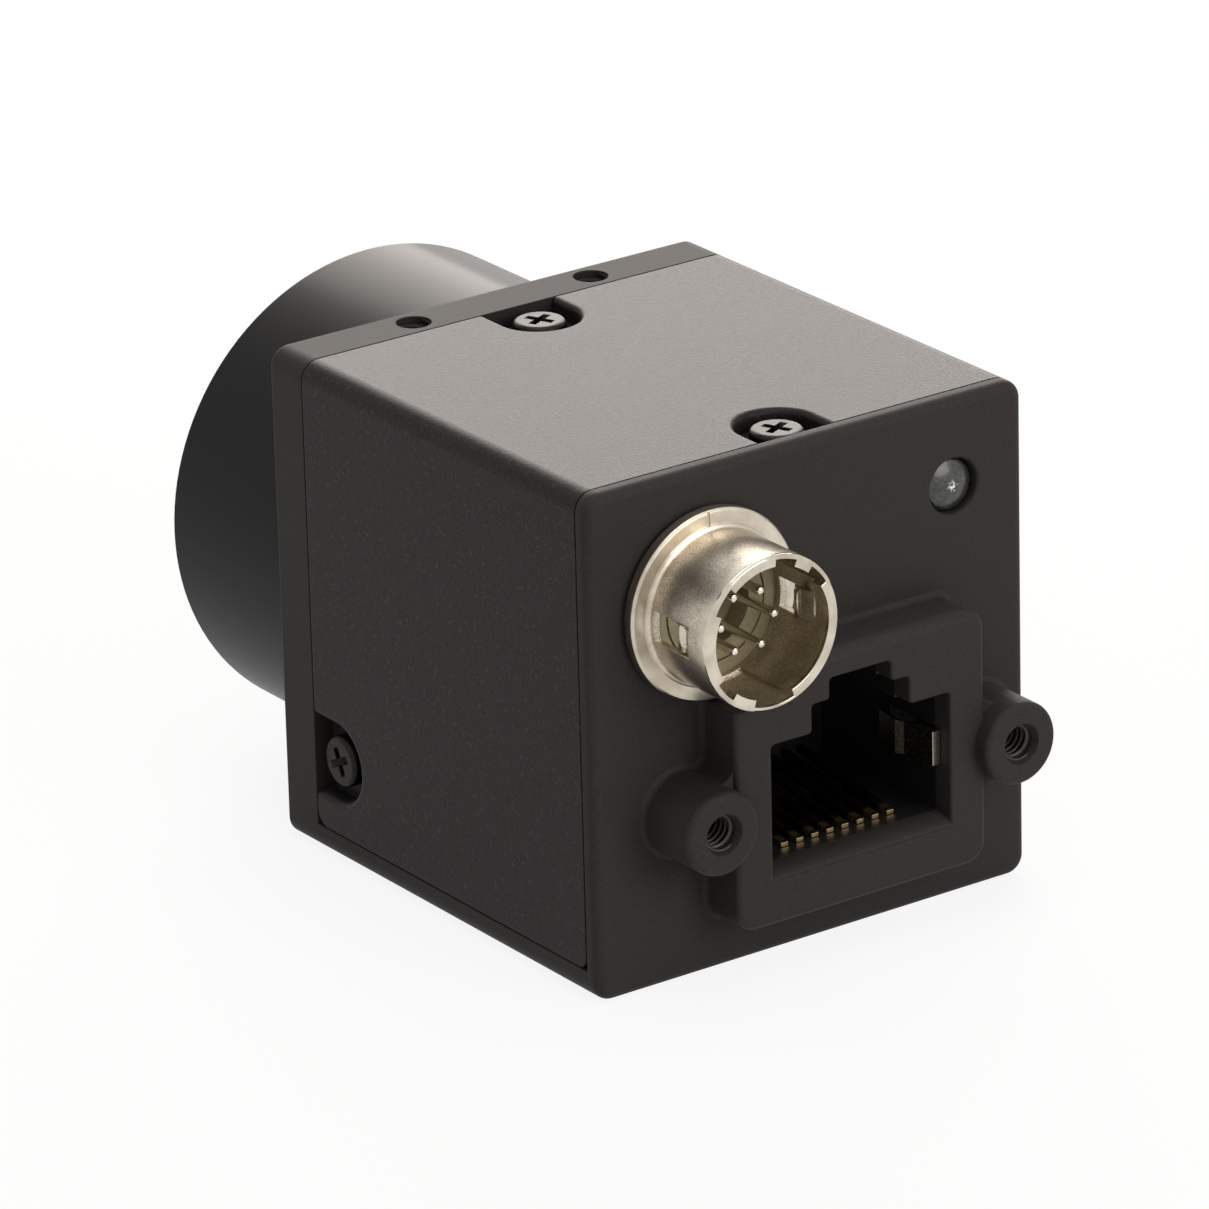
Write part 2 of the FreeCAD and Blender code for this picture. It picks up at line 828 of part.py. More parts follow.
def rear_plate():
    # One casting: rounded plate, socket surround, two screw posts and inner lugs.
    plate = body_outline(rear_plate_front, rear_face)
    plate = plate.makeFillet(rear_edge_radius, edges_in_plane(plate, rear_face))
    raised = fuse_all([plate, socket_surround(), lock_post(-1), lock_post(1)])
    room_x = half_width - rear_edge_radius - pick_gap
    room_z = half_height - rear_edge_radius - pick_gap
    foot = edges_within(raised, rear_face, -room_x, room_x, -room_z, room_z)
    raised = raised.makeFillet(socket_foot_radius, foot)
    lip = seat_lip(rear_plate_front - lip_depth, rear_plate_front)
    clear = recess_dish(screw_from_seam, recess_wall_radius + cover_thickness + window_gap, 1,
                        -recess_under - 1)
    lip = lip.cut(on_cover(clear, clear)[1])
    raw_boss = screw_boss(rear_plate_front - rear_screw_y)
    boss = on_cover(raw_boss, raw_boss)[1]
    solids = [raised, lip, boss]
    y = rear_plate_front - base_screw_setback
    lug_top = base_floor + lug_height
    for side in (-1, 1):
        x = side * base_screw_x
        inner = x - side * lug_inner
        outer = x + side * lug_outer
        solids.append(block(min(inner, outer), max(inner, outer), y - lug_outer, rear_plate_front,
                            base_floor, lug_top))
    casting = fuse_all(solids)

    holes = [
        jack_outline(interface_board_back, jack_front, jack_shield_thickness + slip_gap),
        cylinder_y(io_flange_radius + io_relief_gap, rear_face, surround_front + 1, io_x, io_z),
        cylinder_y(io_nut_radius + io_relief_gap, insulator_back, rear_plate_front, io_x, io_z),
        plug_mouth(jack_front - 1, surround_front + 1),
        cylinder_y(io_thread_radius + slip_gap, rear_plate_front - 1, rear_face + 1, io_x, io_z),
        cylinder_y(light_hole_radius, rear_plate_front - 1, rear_face + 1, light_x, light_z),
        lock_hole(-1),
        lock_hole(1),
    ]
    bore = screw_bore()
    holes.append(on_cover(bore, bore)[1])
    for side in (-1, 1):
        holes.append(cylinder_z(base_screw_radius, base_floor - 1,
                                -half_height + base_screw_length + screw_end_gap, side * base_screw_x, y))
    casting = cut_all(casting, holes)

    # Soft edges round the mouth of the socket and the status light.
    reach = plug_half_width + pick_gap
    mouth = edges_within(casting, surround_front, socket_x - reach, socket_x + reach,
                         plug_bottom - pick_gap, plug_latch_top + pick_gap)
    casting = casting.makeFillet(opening_edge_radius, mouth)
    reach = light_hole_radius + pick_gap
    ring = edges_within(casting, rear_face, light_x - reach, light_x + reach, light_z - reach,
                        light_z + reach)
    casting = casting.makeFillet(light_hole_round, ring)
    return fuse_all([casting, plug_lip()])


def io_sector(angles, radius, y0, y1):
    # Wedge about the connector axis, angles seen from behind the camera.
    start, stop = [math.radians(angle) for angle in angles]
    middle = (start + stop) / 2
    reach = radius / math.cos((stop - start) / 2)
    points = [Vector(io_x, y0, io_z)]
    for angle, length in ((start, reach), (middle, reach), (stop, reach)):
        points.append(Vector(io_x - length * math.cos(angle), y0, io_z + length * math.sin(angle)))
    return wire_face(points).extrude(Vector(0, y1 - y0, 0))


def io_shell():
    # Turned shell: flange, hub step, barrel with keyways, threaded tail behind the plate.
    edge = io_edge_chamfer
    profile = [
        (io_bore_radius, insulator_back),
        (io_thread_radius, insulator_back),
        (io_thread_radius, io_seat),
        (io_flange_radius, io_seat),
        (io_flange_radius, io_flange_back - edge),
        (io_flange_radius - edge, io_flange_back),
        (io_hub_radius, io_flange_back),
        (io_hub_radius, io_flange_back + io_hub_height),
        (io_barrel_radius, io_flange_back + io_hub_height + io_hub_slope),
        (io_barrel_radius, io_mouth - edge),
        (io_barrel_radius - edge, io_mouth),
        (io_lip_radius, io_mouth),
        (io_lip_radius, io_mouth - io_lip_depth),
        (io_bore_radius, io_mouth - io_lip_depth),
    ]
    shell = revolve_y(profile, io_x, io_z)
    cuts = []
    for angles in io_keyways:
        sector = io_sector(angles, io_barrel_radius, rear_face + io_keyway_start, io_mouth + 1)
        core = cylinder_y(io_keyway_radius, rear_face + io_keyway_start, io_mouth + 1, io_x, io_z)
        cuts.append(sector.common(core))
    window_y = rear_face + io_window_start
    window_end = window_y + io_window_length
    half = io_window_width / 2
    reach = io_barrel_radius + 1
    cuts.append(block(io_x - reach, io_x + reach, window_y, window_end, io_z - half, io_z + half))
    mark = block(io_x - io_index_width / 2, io_x + io_index_width / 2, io_flange_back - io_index_depth,
                 io_flange_back + 1, io_z + io_hub_radius, io_z + io_flange_radius + 1)
    mark.rotate(Vector(io_x, 0, io_z), Vector(0, 1, 0), io_index_angle - 90)
    cuts.append(mark)
    shell = cut_all(shell, cuts)

    # Latch tabs: the end of each window is bent a little inwards.
    wall = io_tab_thickness
    tabs = []
    for side in (-1, 1):
        outer = io_x + side * (io_barrel_radius - window_gap)
        inner = outer - side * 2 * wall
        near = window_end - io_tab_length
        tab = wire_face([
            Vector(outer, window_end + window_gap, io_z - half),
            Vector(inner, near, io_z - half),
            Vector(inner - side * wall, near, io_z - half),
            Vector(outer - side * wall * 1.4, window_end + window_gap, io_z - half),
        ]).extrude(Vector(0, 0, io_window_width))
        tabs.append(tab)
    return fuse_all([shell] + tabs)


def io_gasket():
    return revolve_y([
        (io_thread_radius + slip_gap, rear_face),
        (io_gasket_radius, rear_face),
        (io_gasket_radius, io_seat),
        (io_thread_radius + slip_gap, io_seat),
    ], io_x, io_z)


def io_ring_nut():
    nut = cylinder_y(io_nut_radius, rear_plate_front - io_nut_thickness, rear_plate_front, io_x, io_z)
    hole = cylinder_y(io_thread_radius, rear_plate_front - io_nut_thickness - 1, rear_plate_front + 1,
                      io_x, io_z)
    slot = block(io_x - io_nut_radius - 1, io_x + io_nut_radius + 1, rear_plate_front - io_nut_thickness - 1,
                 rear_plate_front - io_nut_thickness / 2, io_z - io_nut_slot_width / 2,
                 io_z + io_nut_slot_width / 2)
    return cut_all(nut, [hole, slot])


def pin_places():
    places = []
    for index in range(pin_count):
        angle = 2 * math.pi * index / pin_count
        x = io_x + pin_circle_radius * math.cos(angle)
        places.append((x, io_z + pin_circle_radius * math.sin(angle)))
    return places


def io_insulator():
    # Moulded body that holds the pins, with a raised ring round a recessed middle.
    outer = io_bore_radius
    mid = insulator_groove_radius
    half = insulator_groove_width / 2
    body = revolve_y([
        (0, insulator_back),
        (outer, insulator_back),
        (outer, insulator_front),
        (mid + half, insulator_front),
        (mid + half, insulator_front - insulator_groove_depth),
        (mid - half, insulator_front - insulator_groove_depth),
        (mid - half, insulator_front),
        (insulator_recess_radius, insulator_front),
        (insulator_recess_radius, insulator_front - insulator_recess_depth),
        (0, insulator_front - insulator_recess_depth),
    ], io_x, io_z)
    holes = [cylinder_y(pin_radius, insulator_back - 1, insulator_front, x, z) for x, z in pin_places()]
    return cut_all(body, holes)


def io_pins():
    # Six round-tipped pins, soldered through the interface board.
    tip = io_mouth - pin_setback
    pins = []
    for x, z in pin_places():
        pins.append(revolve_y([
            (0, interface_board_front),
            (pin_radius, interface_board_front),
            (pin_radius, tip - pin_tip_length),
            (pin_radius * 0.8, tip - pin_tip_length * 0.3),
            (pin_radius * 0.4, tip),
            (0, tip),
        ], x, z))
    return Part.makeCompound(pins)


def jack_housing():
    # Moulded network socket with a stepped cavity and windows for the shield springs.
    y0 = interface_board_back
    body = jack_outline(y0, jack_front, 0)
    cuts = [plug_opening(jack_cavity_back, jack_front + 1, plug_floor)]
    half = spring_width / 2 + window_gap
    window_back = jack_front - spring_reach - window_gap
    for side in (-1, 1):
        wall = socket_x + side * (jack_half_width + slip_gap)
        inner = socket_x + side * (plug_half_width - 1)
        cuts.append(block(min(wall, inner), max(wall, inner), window_back, jack_front + 1,
                          spring_height - half, spring_height + half))
    for index in range(contact_count):
        x = contact_x(index)
        half_slot = contact_width / 2 + slip_gap
        cuts.append(block(x - half_slot, x + half_slot, y0 - 1, jack_front - contact_setback + window_gap,
                          plug_floor - contact_slot_depth, plug_floor + slip_gap))
    return cut_all(body, cuts)


def contact_x(index):
    return socket_x + (index - (contact_count - 1) / 2) * contact_pitch


def jack_contacts():
    # Eight bent wires: through the board, along the floor slots, rising inside the cavity.
    wires = []
    top = plug_floor - contact_sink
    low = top - contact_thickness
    front = jack_front - contact_setback
    knee = front - contact_bend
    back = jack_cavity_back + contact_tip_gap
    for index in range(contact_count):
        x = contact_x(index) - contact_width / 2
        points = [
            Vector(x, interface_board_front, low),
            Vector(x, front, low),
            Vector(x, front, top + contact_nose),
            Vector(x, back, top + contact_rise),
            Vector(x, back, top + contact_rise - contact_thickness),
            Vector(x, knee, top),
            Vector(x, interface_board_front, top),
        ]
        wires.append(wire_face(points).extrude(Vector(contact_width, 0, 0)))
    return Part.makeCompound(wires)


def jack_shield():
    # Plated sheet round the socket, with a bowed spring folded into each side.
    thick = jack_shield_thickness
    y0 = interface_board_back
    shell = jack_outline(y0, jack_front, thick).cut(jack_outline(y0 - 1, jack_front + 1, 0))
    springs = []
    for side in (-1, 1):
        wall = jack_half_width + thick / 2
        edge = plug_half_width - slip_gap
        fold = edge - 2 * thick
        crest = plug_half_width - spring_bow
        path = [
            (wall, jack_front),
            (edge, jack_front),
            (edge, jack_front + spring_nose),
            (fold, jack_front + spring_nose),
            (fold - thick, jack_front - spring_crease + 2 * thick),
            (crest, jack_front - spring_crease),
            (crest + thick, jack_front - spring_reach),
            (crest + 2 * thick, jack_front - spring_reach),
            (crest + thick, jack_front - spring_crease),
            (fold, jack_front - spring_crease + 2 * thick),
            (edge, jack_front - thick),
            (wall, jack_front - thick),
        ]
        points = [Vector(socket_x + side * x, y, spring_height - spring_width / 2) for x, y in path]
        springs.append(wire_face(points).extrude(Vector(0, 0, spring_width)))
    return fuse_all([shell] + springs)


def light_pipe():
    # Clear moulding: dome at the plate, collar behind it, shaft to the chip.
    radius = light_pipe_radius
    tip = rear_face - light_dome_setback
    shoulder = tip - light_dome_height
    start = interface_board_back + light_chip_thickness + light_chip_gap
    sphere = (radius ** 2 + light_dome_height ** 2) / (2 * light_dome_height)
    shaft = cylinder_y(radius, start, tip, light_x, light_z)
    dome = Part.makeSphere(sphere, Vector(light_x, tip - sphere, light_z))
    shaft = shaft.common(fuse_all([dome, cylinder_y(radius + 1, start, shoulder, light_x, light_z)]))
    collar = cylinder_y(light_collar_radius, rear_plate_front - light_collar_thickness, rear_plate_front,
                        light_x, light_z)
    return fuse_all([shaft, collar])


def light_chip():
    half = light_chip_size / 2
    return block(light_x - half, light_x + half, interface_board_back,
                 interface_board_back + light_chip_thickness, light_z - half / 2, light_z + half / 2)


def board_holes(y0):
    radius = standoff_stud_radius + board_hole_gap
    return [cylinder_y(radius, y0 - 1, y0 + board_thickness + 1, x, z) for x, z in standoff_places]


def sensor_board():
    half = board_half_width
    upper = block(-half, half, sensor_board_front, sensor_board_back, sensor_board_shoulder, board_top)
    tongue_half = side_boss_inner - screw_boss_gap
    tongue = block(-tongue_half, tongue_half, sensor_board_front, sensor_board_back,
                   sensor_board_tongue_bottom, sensor_board_shoulder)
    notch_half = boss_half_width + 2 * screw_boss_gap
    notch = block(-notch_half, notch_half, sensor_board_front - 1, sensor_board_back + 1,
                  top_boss_inner - 2 * screw_boss_gap, board_top + 1)
    return cut_all(fuse_all([upper, tongue]), [notch] + board_holes(sensor_board_front))


def main_board():
    half = board_half_width
    plain = block(-half, half, main_board_front, main_board_back, board_bottom, board_top)
    return cut_all(plain, board_holes(main_board_front))


def interface_board():
    half = board_half_width
    plain = block(-half, half, interface_board_front, interface_board_back, board_bottom, board_top)
    holes = board_holes(interface_board_front)
    for x, z in pin_places():
        holes.append(cylinder_y(pin_radius, interface_board_front - 1, interface_board_back + 1, x, z))
    for index in range(contact_count):
        x = contact_x(index)
        half_slot = contact_width / 2
        top = plug_floor - contact_sink
        holes.append(block(x - half_slot, x + half_slot, interface_board_front - 1, interface_board_back + 1,
                           top - contact_thickness, top))
    return cut_all(plain, holes)


def hexagon_prism(y0, y1, x, z):
    reach = standoff_across_flats / 2 / math.cos(math.pi / 6)
    points = []
    for index in range(6):
        angle = math.pi / 3 * index
        points.append(Vector(x + reach * math.cos(angle), y0, z + reach * math.sin(angle)))
    return wire_face(points).extrude(Vector(0, y1 - y0, 0))


def standoffs(y0, y1):
    # Hexagonal spacers with a stud through the board in front and a tapped hole behind.
    pieces = []
    for x, z in standoff_places:
        body = hexagon_prism(y0, y1, x, z)
        stud = cylinder_y(standoff_stud_radius - slip_gap, y0 - stud_length, y0, x, z)
        hole = cylinder_y(standoff_stud_radius, y1 - stud_length - screw_end_gap, y1 + 1, x, z)
        pieces.append(body.fuse(stud).cut(hole))
    return Part.makeCompound(pieces)


def board_screws():
    screws = []
    for x, z in standoff_places:
        head = cylinder_y(board_screw_head_radius, interface_board_back,
                          interface_board_back + board_screw_head_height, x, z)
        rim = edges_in_plane(head, interface_board_back + board_screw_head_height)
        head = head.makeFillet(board_screw_head_round, rim)
        shank = cylinder_y(standoff_stud_radius - slip_gap, interface_board_back - stud_length,
                           interface_board_back, x, z)
        screws.append(head.fuse(shank))
    return Part.makeCompound(screws)


def chip(width, height, thickness, x, z, y, side):
    # A flat component soldered to a board face, side -1 in front of it, +1 behind.
    y0 = min(y, y + side * thickness)
    return block(x - width / 2, x + width / 2, y0, y0 + thickness, z - height / 2, z + height / 2)


def board_plug(y, height, side):
    # Board connector with a raised tongue that reaches into the socket facing it.
    base = chip(connector_width, connector_depth, height, 0, connector_z, y, side)
    tongue = chip(connector_width - connector_depth, connector_depth / 3, height * (1 + tongue_share), 0,
                  connector_z, y, side)
    return fuse_all([base, tongue])


def board_socket(y, height, side):
    # Board connector with a slot for the tongue.
    base = chip(connector_width, connector_depth, height, 0, connector_z, y, side)
    gap = 2 * connector_tongue_gap
    slot = chip(connector_width - connector_depth + gap, connector_depth / 3 + gap, height * tongue_share,
                0, connector_z, y + side * height, -side)
    return base.cut(slot)


def sensor_package():
    # Ceramic carrier with a stepped cavity for the die.
    width = 2 * package_half_width
    height = 2 * package_half_height
    body = chip(width, height, package_thickness, 0, 0, package_front, 1)
    rim = 2 * package_wall
    cavity = chip(width - rim, height - rim, die_setback + die_thickness, 0, 0, package_front, 1)
    rim -= 2 * package_shelf
    shelf = chip(width - rim, height - rim, die_setback / 2, 0, 0, package_front, 1)
    return cut_all(body, [cavity, shelf])


def sensor_glass():
    width = 2 * (package_half_width - sensor_glass_inset)
    height = 2 * (package_half_height - sensor_glass_inset)
    return chip(width, height, sensor_glass_thickness, 0, 0, package_front, -1)


def sensor_gasket():
    # Soft frame between the housing and the sensor board that keeps dust out.
    x0 = package_half_width + sensor_gasket_gap
    z0 = package_half_height + sensor_gasket_gap
    x1 = side_boss_inner - sensor_gasket_gap
    z1 = top_boss_inner - sensor_gasket_gap
    frame = block(-x1, x1, sensor_boss_back, sensor_board_front, -z1, z1)
    hole = block(-x0, x0, sensor_boss_back - 1, sensor_board_front + 1, -z0, z0)
    return frame.cut(hole)


def filter_retainer():
    # Threaded ring with two spanner slots, in front of the filter glass.
    ring = cylinder_y(retainer_radius, retainer_front, retainer_back)
    bore = cylinder_y(retainer_radius - retainer_width, retainer_front - 1, retainer_back + 1)
    slot = block(-retainer_radius - 1, retainer_radius + 1, retainer_front - 1,
                 retainer_front + retainer_thickness / 2, -retainer_slot_width / 2, retainer_slot_width / 2)
    return cut_all(ring, [bore, slot])


def filter_gasket():
    ring = cylinder_y(filter_radius, filter_back, filter_seat)
    return ring.cut(cylinder_y(filter_radius - filter_gasket_width, filter_back - 1, filter_seat + 1))


def all_parts():
    front_half = front_stack_gap / 2
    rear_half = rear_stack_gap / 2
    parts = {
        "lens_mount_ring": lens_mount_ring(),
        "front_housing": front_housing(),
        "cover": cover(),
        "rear_plate": rear_plate(),
        "cover_screws": cover_screws(),
        "base_screws": base_screws(),
        "io_shell": io_shell(),
        "io_gasket": io_gasket(),
        "io_ring_nut": io_ring_nut(),
        "io_insulator": io_insulator(),
        "io_pins": io_pins(),
        "jack_housing": jack_housing(),
        "jack_contacts": jack_contacts(),
        "jack_shield": jack_shield(),
        "light_pipe": light_pipe(),
        "light_chip": light_chip(),
        "sensor_board": sensor_board(),
        "main_board": main_board(),
        "interface_board": interface_board(),
        "front_standoffs": standoffs(sensor_board_back, main_board_front),
        "rear_standoffs": standoffs(main_board_back, interface_board_front),
        "board_screws": board_screws(),
        "processor_chip": chip(processor_size, processor_size, rear_stack_gap * processor_gap_share,
                               chip_x, chip_z, main_board_back, 1),
        "memory_chip": chip(memory_width, memory_height, front_stack_gap * memory_gap_share,
                            chip_x, chip_z, main_board_front, -1),
        "sensor_glass": sensor_glass(),
        "sensor_die": chip(die_width, die_height, die_thickness, 0, 0, die_front, 1),
        "sensor_package": sensor_package(),
        "sensor_gasket": sensor_gasket(),
        "filter_glass": cylinder_y(filter_radius, retainer_back, filter_back),
        "filter_gasket": filter_gasket(),
        "filter_retainer": filter_retainer(),
        "sensor_board_plug": board_plug(sensor_board_back, front_half, 1),
        "main_board_front_socket": board_socket(main_board_front, front_half, -1),
        "main_board_rear_plug": board_plug(main_board_back, rear_half, 1),
        "interface_board_socket": board_socket(interface_board_front, rear_half, -1),
        "network_magnetics": chip(magnetics_width, magnetics_height, rear_stack_gap * magnetics_gap_share,
                                  magnetics_x, magnetics_z, interface_board_front, -1),
        "power_transformer": chip(transformer_size, transformer_size, rear_stack_gap * transformer_gap_share,
                                  transformer_x, magnetics_z, interface_board_front, -1),
    }
    return parts


os.makedirs("parts", exist_ok=True)
for name, shape in all_parts().items():
    shape.exportStep("parts/" + name + ".step")
    box = shape.BoundBox
    spans = (box.XMin, box.XMax, box.YMin, box.YMax, box.ZMin, box.ZMax)
    print(name, "solids", len(shape.Solids), "valid", shape.isValid(), "volume %.2f" % shape.Volume,
          "x %.2f %.2f y %.2f %.2f z %.2f %.2f" % spans)
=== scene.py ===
import json
import math

import bmesh
import bpy
from mathutils import Matrix, Vector


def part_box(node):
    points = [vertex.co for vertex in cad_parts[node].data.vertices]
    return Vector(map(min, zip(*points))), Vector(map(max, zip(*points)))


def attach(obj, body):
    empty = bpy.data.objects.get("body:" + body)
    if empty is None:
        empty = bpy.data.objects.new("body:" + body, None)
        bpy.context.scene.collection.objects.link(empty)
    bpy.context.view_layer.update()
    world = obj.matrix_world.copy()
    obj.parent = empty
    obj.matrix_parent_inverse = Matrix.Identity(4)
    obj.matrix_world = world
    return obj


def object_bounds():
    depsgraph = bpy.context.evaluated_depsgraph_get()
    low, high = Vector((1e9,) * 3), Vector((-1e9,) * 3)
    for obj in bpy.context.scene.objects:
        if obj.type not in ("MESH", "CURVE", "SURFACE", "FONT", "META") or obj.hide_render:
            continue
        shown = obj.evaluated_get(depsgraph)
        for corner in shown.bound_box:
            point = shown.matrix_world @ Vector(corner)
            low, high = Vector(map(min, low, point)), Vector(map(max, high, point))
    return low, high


# Looks of the machine vision camera. Metres; its lens looks along -Y, +Z is up.
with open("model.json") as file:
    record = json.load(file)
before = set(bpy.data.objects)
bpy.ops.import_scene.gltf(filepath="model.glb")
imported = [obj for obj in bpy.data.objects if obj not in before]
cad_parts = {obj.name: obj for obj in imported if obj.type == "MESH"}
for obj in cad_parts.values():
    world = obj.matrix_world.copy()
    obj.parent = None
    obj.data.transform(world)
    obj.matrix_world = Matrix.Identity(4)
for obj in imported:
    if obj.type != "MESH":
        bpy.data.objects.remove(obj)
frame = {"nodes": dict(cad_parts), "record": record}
cadLow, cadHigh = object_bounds()
nodes = frame["nodes"]
mounts = {mount["name"]: mount for mount in frame["record"]["mounts"]}
mm = 0.001


def linear(hexColour):
    # One sRGB hex colour as linear red, green, blue, alpha.
    values = []
    for start in (1, 3, 5):
        part = int(hexColour[start:start + 2], 16) / 255
        values.append(part / 12.92 if part <= 0.04045 else ((part + 0.055) / 1.055) ** 2.4)
    return (*values, 1.0)


# Material helpers
def plug(tree, node, inputs):
    # Each input takes a link, an sRGB colour or a plain value.
    for name, value in inputs.items():
        if isinstance(value, bpy.types.NodeSocket):
            tree.links.new(value, node.inputs[name])
        elif isinstance(value, str):
            node.inputs[name].default_value = linear(value)
        else:
            node.inputs[name].default_value = value


def addNode(tree, kind, inputs, out=0, **settings):
    # Adds one node with its settings and links, and gives back the output asked for.
    # A Mix node takes its share at 0 and its colours at 6 and 7, and gives the colour at 2.
    node = tree.nodes.new("ShaderNode" + kind)
    for name, value in settings.items():
        setattr(node, name, value)
    plug(tree, node, inputs)
    return node.outputs[out]


def startMaterial(name):
    material = bpy.data.materials.new(name)
    material.use_nodes = True
    tree = material.node_tree
    return material, tree, tree.nodes["Principled BSDF"]


noiseLow, noiseHigh = 0.3, 0.7  # most of a noise's values lie between these
edgeSamples = 6  # rays that round an edge in the shading
glowReach = (0.001, 0.0008, 0.0006)  # how far red, green and blue light travels in a moulding
sealerRough, sealerIndex = 0.16, 1.2  # the clear seal on an anodised surface


def grainyFinish(name, look):
    # Coats, platings, turned metal and mouldings: a fine grain varies tone, gloss and height.
    material, tree, bsdf = startMaterial(name)
    place = addNode(tree, "TexCoord", {}, "Object")
    grain = addNode(tree, "TexNoise", {"Vector": place, "Scale": 1 / (look["grain"] * mm), "Detail": 3.0,
                                       "Roughness": 0.6})
    share = addNode(tree, "MapRange", {"Value": grain, "From Min": noiseLow, "From Max": noiseHigh})
    tone = addNode(tree, "Mix", {0: share, 6: look["dark"], 7: look["light"]}, 2, data_type="RGBA")
    # Painted glints: pale flecks mixed into the colour stand in for specks of light caught by the coat.
    if "fleck" in look:
        fleckLow, fleckHigh = look["fleckSpan"]
        fleck = addNode(tree, "TexNoise", {"Vector": place, "Scale": 1 / (look["fleck"] * mm), "Detail": 1.0})
        share = addNode(tree, "MapRange", {"Value": fleck, "From Min": fleckLow, "From Max": fleckHigh,
                                           "To Max": look["fleckShare"]})
        tone = addNode(tree, "Mix", {0: share, 6: tone, 7: look["paintedGlint"]}, 2, data_type="RGBA")
    low, high = look["rough"]
    gloss = addNode(tree, "MapRange", {"Value": grain, "From Min": noiseLow, "From Max": noiseHigh,
                                       "To Min": low, "To Max": high})
    edge = addNode(tree, "Bevel", {"Radius": look["edge"] * mm}, samples=edgeSamples)
    relief = addNode(tree, "Bump", {"Height": grain, "Normal": edge, "Strength": look["strength"],
                                    "Distance": look["depth"] * mm})
    plug(tree, bsdf, {"Base Color": tone, "Roughness": gloss, "Normal": relief,
                      "Metallic": look.get("metal", 0.0), "Specular IOR Level": look.get("shine", 0.5),
                      "Subsurface Weight": look.get("glow", 0.0), "Subsurface Radius": glowReach,
                      "Coat Weight": look.get("sealer", 0.0), "Coat Roughness": sealerRough,
                      "Coat IOR": sealerIndex})
    return material


# Grain, fleck, depth and edge are real millimetres. Grain under 0.1 mm is drawn coarser, so that it shows.
grainyLooks = {
    # Powder-coated aluminium casting: smooth satin black, softer at the edges.
    "coated_casting": {"dark": "#2a2827", "light": "#353231", "grain": 0.13, "rough": (0.54, 0.6),
                       "shine": 0.1, "strength": 0.2, "depth": 0.02, "edge": 0.12},
    # Powder-coated folded steel sheet: fine orange-peel, with pale flecks painted into its colour as painted
    # glints where the orange-peel catches the light.
    "coated_sheet": {"dark": "#1d1b1b", "light": "#312e2d", "paintedGlint": "#4a4644", "grain": 0.15, "fleck": 0.3,
                     "fleckSpan": (0.62, 0.74), "fleckShare": 0.35, "rough": (0.35, 0.42), "shine": 0.08,
                     "strength": 0.5, "depth": 0.03, "edge": 0.1},
    # Black anodised turned aluminium: deep satin black with paler rims.
    "anodised_ring": {"dark": "#0f0e0e", "light": "#161413", "grain": 0.07, "rough": (0.46, 0.52),
                      "shine": 0.08, "sealer": 0.25, "strength": 0.15, "depth": 0.01, "edge": 0.08},
    # Black zinc-plated steel screws: grey sheen on the flat heads.
    "black_screw": {"dark": "#1c1a19", "light": "#2e2b29", "grain": 0.12, "rough": (0.4, 0.48), "metal": 1.0,
                    "strength": 0.2, "depth": 0.01, "edge": 0.06},
    # Nickel-plated stamped spring sheet: brighter and smoother.
    "nickel_sheet": {"dark": "#b5ad9b", "light": "#d6d0c3", "grain": 0.05, "rough": (0.2, 0.28), "metal": 1.0,
                     "strength": 0.15, "depth": 0.004, "edge": 0.04},
    # Tin-plated brass pins: the brightest metal, smooth as wire.
    "plated_pin": {"dark": "#cfc8b8", "light": "#e4dfd2", "grain": 0.05, "rough": (0.16, 0.24), "metal": 1.0,
                   "strength": 0.1, "depth": 0.003, "edge": 0.04},
    # Turned steel standoffs, plated: warm grey with a soft gloss.
    "standoff_steel": {"dark": "#a9a296", "light": "#c4beb2", "grain": 0.06, "rough": (0.25, 0.35),
                       "metal": 1.0, "strength": 0.2, "depth": 0.005, "edge": 0.05},
    # Moulded rubber gaskets: dull black.
    "black_rubber": {"dark": "#141414", "light": "#1c1b1b", "grain": 0.1, "rough": (0.6, 0.75),
                     "strength": 0.2, "depth": 0.01, "edge": 0.05},
    # Glass-filled polyamide insulator: matt olive beige.
    "beige_insulator": {"dark": "#8e8468", "light": "#a0967a", "grain": 0.25, "rough": (0.4, 0.5),
                        "glow": 0.15, "strength": 0.12, "depth": 0.006, "edge": 0.05},
    # Moulded black thermoplastic of the socket and the board connectors: plain, with a low gloss.
    "black_moulding": {"dark": "#121212", "light": "#191919", "grain": 0.15, "rough": (0.4, 0.5),
                       "strength": 0.15, "depth": 0.01, "edge": 0.05},
    # White moulded body of the light-emitting chip: pale and even.
    "white_chip": {"dark": "#d5d2c4", "light": "#e2dfd2", "grain": 0.2, "rough": (0.4, 0.5),
                   "strength": 0.1, "depth": 0.005, "edge": 0.04},
    # Moulded epoxy of the chips: matt charcoal.
    "chip_epoxy": {"dark": "#161618", "light": "#202023", "grain": 0.06, "rough": (0.5, 0.6),
                   "strength": 0.3, "depth": 0.006, "edge": 0.06},
    # Fired alumina carrier of the sensor, dyed dark: stony and matt.
    "ceramic_carrier": {"dark": "#4a4643", "light": "#5b5652", "grain": 0.08, "rough": (0.45, 0.55),
                        "strength": 0.2, "depth": 0.006, "edge": 0.05},
    # Open-cell foam of the dust seal: no gloss at all.
    "foam": {"dark": "#101010", "light": "#1e1e1e", "grain": 0.15, "rough": (0.85, 0.95),
             "strength": 0.8, "depth": 0.05, "edge": 0.05},
    # Tapped aluminium under the black coat: the ridges glint in the dark of a hole.
    "tappedThread": {"dark": "#2b2927", "light": "#45413f", "grain": 0.08, "rough": (0.3, 0.38),
                     "shine": 0.4, "strength": 0.2, "depth": 0.006, "edge": 0.03},
}

materials = {}
for name, look in grainyLooks.items():
    materials[name] = grainyFinish(name, look)


